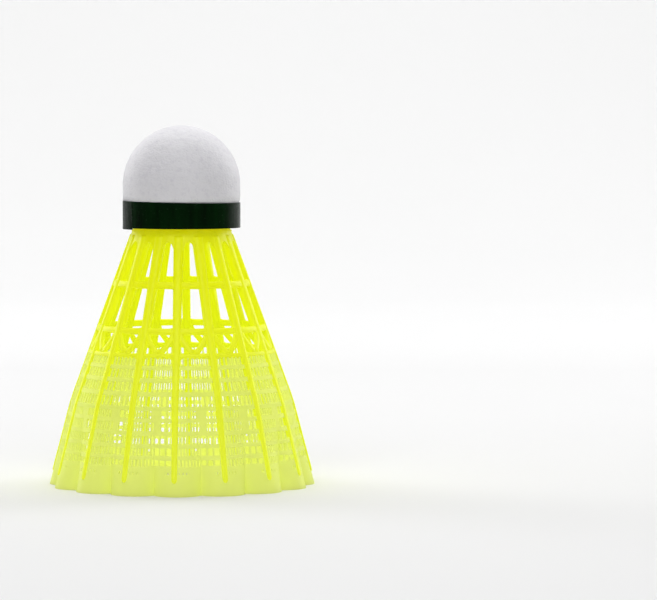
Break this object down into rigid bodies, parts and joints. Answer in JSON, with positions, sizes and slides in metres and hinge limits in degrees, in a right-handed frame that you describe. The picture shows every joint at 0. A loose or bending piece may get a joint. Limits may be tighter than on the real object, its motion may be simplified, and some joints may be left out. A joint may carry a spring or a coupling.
{
  "type": "shuttlecock",
  "caption": "Badminton shuttlecock: white domed cork base with a dark green tape on a yellow nylon net skirt with a lobed rim.",
  "frame": {"origin": "centre of the skirt's rim plane, on the axis, at the bottom of the standing shuttlecock", "axes": "+Z along the shuttlecock's axis towards the base, +X through one of the sixteen ribs"},
  "size_m": [0.0588, 0.0588, 0.0794],
  "materials": {
    "nylon": "fluorescent yellow, semi-gloss, translucent in thin places",
    "cork": "agglomerated cork, matt",
    "cover_leather": "white synthetic leather, fine grain, satin",
    "tape": "very dark green foil tape, glossy",
    "steel": "turned steel",
    "glue": "cured clear adhesive, slightly amber"
  },
  "bodies": {
    "root": {"skirt": "nylon", "cork_disc": "cork", "cork_dome": "cork", "cork_cover": "cover_leather", "speed_band": "tape", "balance_weight": "steel", "glue_film": "glue"}
  },
  "joints": []
}
